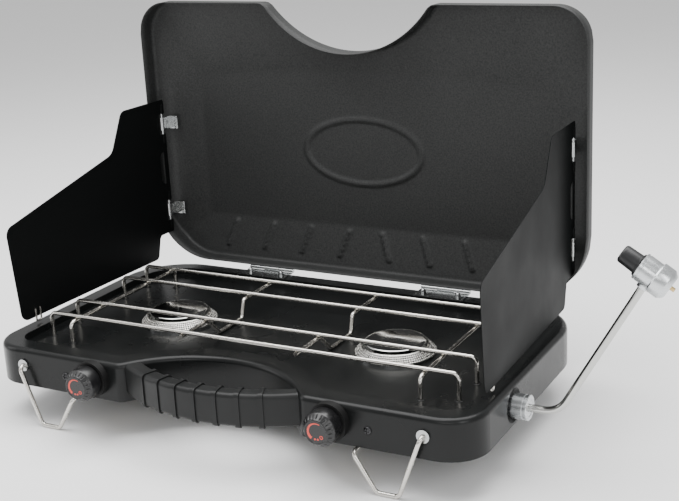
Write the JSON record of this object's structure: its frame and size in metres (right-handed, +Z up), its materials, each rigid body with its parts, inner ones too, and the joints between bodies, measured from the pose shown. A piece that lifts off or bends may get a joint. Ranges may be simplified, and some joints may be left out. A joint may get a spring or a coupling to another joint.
{
  "type": "camping stove",
  "caption": "Tabletop propane stove: pressed tray with ring burners, wire grate, upright notched lid with side windscreens, wire legs and a swivelling gas arm with regulator.",
  "frame": {"origin": "on the table plane, below the middle of the tray", "axes": "+X to the cook's right along the tray's width, +Y away from the cook, +Z up"},
  "size_m": [0.775, 0.4208, 0.4437],
  "materials": {
    "black_enamel": "semi-gloss black stoving enamel",
    "lid_coat": "satin dark grey powder coat",
    "screen_coat": "satin black powder coat",
    "black_plastic": "moulded black plastic",
    "knob_plastic": "satin black plastic",
    "plated_wire": "nickel-plated wire",
    "zinc": "zinc-plated steel",
    "stainless": "satin stainless steel",
    "polished_steel": "polished stainless steel",
    "brass": "turned brass",
    "cast_aluminium": "turned aluminium"
  },
  "bodies": {
    "tray": {"body_shell": "black_enamel", "handle_grip": "black_plastic", "knob_bezel_l": "knob_plastic", "knob_bezel_r": "knob_plastic", "valve_body_l": "brass", "valve_body_r": "brass", "front_screw_l": "zinc", "front_screw_r": "zinc", "burner_cup_l": "stainless", "burner_cup_r": "stainless", "burner_ring_l": "stainless", "burner_ring_r": "stainless", "burner_cap_l": "polished_steel", "burner_cap_r": "polished_steel", "venturi_tube_l": "stainless", "venturi_tube_r": "stainless", "body_leaf_l": "zinc", "body_leaf_r": "zinc", "hinge_nuts_l": "zinc", "hinge_nuts_r": "zinc", "manifold_pipe": "stainless", "inlet_fitting": "brass", "leg_bushing_front_l": "zinc", "leg_bushing_front_r": "zinc", "leg_bushing_back_l": "zinc", "leg_bushing_back_r": "zinc"},
    "lid": {"lid_shell": "lid_coat", "lid_leaf_l": "zinc", "lid_leaf_r": "zinc", "lid_hinge_pin_l": "zinc", "lid_hinge_pin_r": "zinc", "hinge_straps_l": "zinc", "hinge_straps_r": "zinc"},
    "left_screen": {"windscreen_l": "screen_coat", "screen_pins_l": "zinc", "screen_hook_l": "zinc"},
    "right_screen": {"windscreen_r": "screen_coat", "screen_pins_r": "zinc", "screen_hook_r": "zinc"},
    "grate": {"grate_wire_1": "plated_wire", "grate_wire_2": "plated_wire", "grate_wire_3": "plated_wire", "grate_wire_4": "plated_wire", "grate_cross_l": "plated_wire", "grate_cross_r": "plated_wire", "grate_saddle_l": "plated_wire", "grate_saddle_r": "plated_wire"},
    "left_knob": {"knob_l": "knob_plastic", "valve_stem_l": "zinc"},
    "right_knob": {"knob_r": "knob_plastic", "valve_stem_r": "zinc"},
    "front_left_leg": {"leg_front_l": "plated_wire"},
    "front_right_leg": {"leg_front_r": "plated_wire"},
    "back_left_leg": {"leg_back_l": "plated_wire"},
    "back_right_leg": {"leg_back_r": "plated_wire"},
    "union_nut": {"coupling_nut": "cast_aluminium"},
    "gas_arm": {"gas_tube": "stainless", "regulator_body": "cast_aluminium", "regulator_pin": "brass"},
    "dust_plug": {"regulator_plug": "black_plastic"}
  },
  "joints": [
    {"name": "lid_hinge", "type": "hinge", "parent": "tray", "child": "lid", "pos_m": [0, 0.1767, 0.093], "axis": [-1, 0, 0], "range_deg": [0, 12]},
    {"name": "left_screen_hinge", "type": "hinge", "parent": "lid", "child": "left_screen", "pos_m": [-0.288, 0.1813, 0.22], "axis": [0, 0, 1], "range_deg": [-12, 4]},
    {"name": "right_screen_hinge", "type": "hinge", "parent": "lid", "child": "right_screen", "pos_m": [0.288, 0.1813, 0.22], "axis": [0, 0, -1], "range_deg": [-12, 4]},
    {"name": "grate_lift", "type": "slide", "parent": "tray", "child": "grate", "axis": [0, 0, 1], "range_m": [0, 0.05]},
    {"name": "left_knob_turn", "type": "hinge", "parent": "tray", "child": "left_knob", "pos_m": [-0.151, -0.19, 0.07], "axis": [0, -1, 0], "range_deg": [0, 270]},
    {"name": "right_knob_turn", "type": "hinge", "parent": "tray", "child": "right_knob", "pos_m": [0.151, -0.19, 0.07], "axis": [0, -1, 0], "range_deg": [0, 270]},
    {"name": "front_left_leg_fold", "type": "hinge", "parent": "tray", "child": "front_left_leg", "pos_m": [-0.253, -0.182, 0.07], "axis": [0, 1, 0], "range_deg": [0, 150]},
    {"name": "front_right_leg_fold", "type": "hinge", "parent": "tray", "child": "front_right_leg", "pos_m": [0.253, -0.182, 0.07], "axis": [0, -1, 0], "range_deg": [0, 150]},
    {"name": "back_left_leg_fold", "type": "hinge", "parent": "tray", "child": "back_left_leg", "pos_m": [-0.207, 0.182, 0.07], "axis": [0, 1, 0], "range_deg": [0, 110]},
    {"name": "back_right_leg_fold", "type": "hinge", "parent": "tray", "child": "back_right_leg", "pos_m": [0.207, 0.182, 0.07], "axis": [0, -1, 0], "range_deg": [0, 110]},
    {"name": "union_nut_turn", "type": "hinge", "parent": "tray", "child": "union_nut", "pos_m": [0.31, -0.066, 0.0665], "axis": [1, 0, 0], "continuous": true},
    {"name": "gas_arm_swivel", "type": "hinge", "parent": "tray", "child": "gas_arm", "pos_m": [0.32, -0.066, 0.0665], "axis": [1, 0, 0], "range_deg": [-100, 100]},
    {"name": "dust_plug_pull", "type": "slide", "parent": "gas_arm", "child": "dust_plug", "axis": [-0.8425, 0, 0.5388], "range_m": [0, 0.04]}
  ]
}
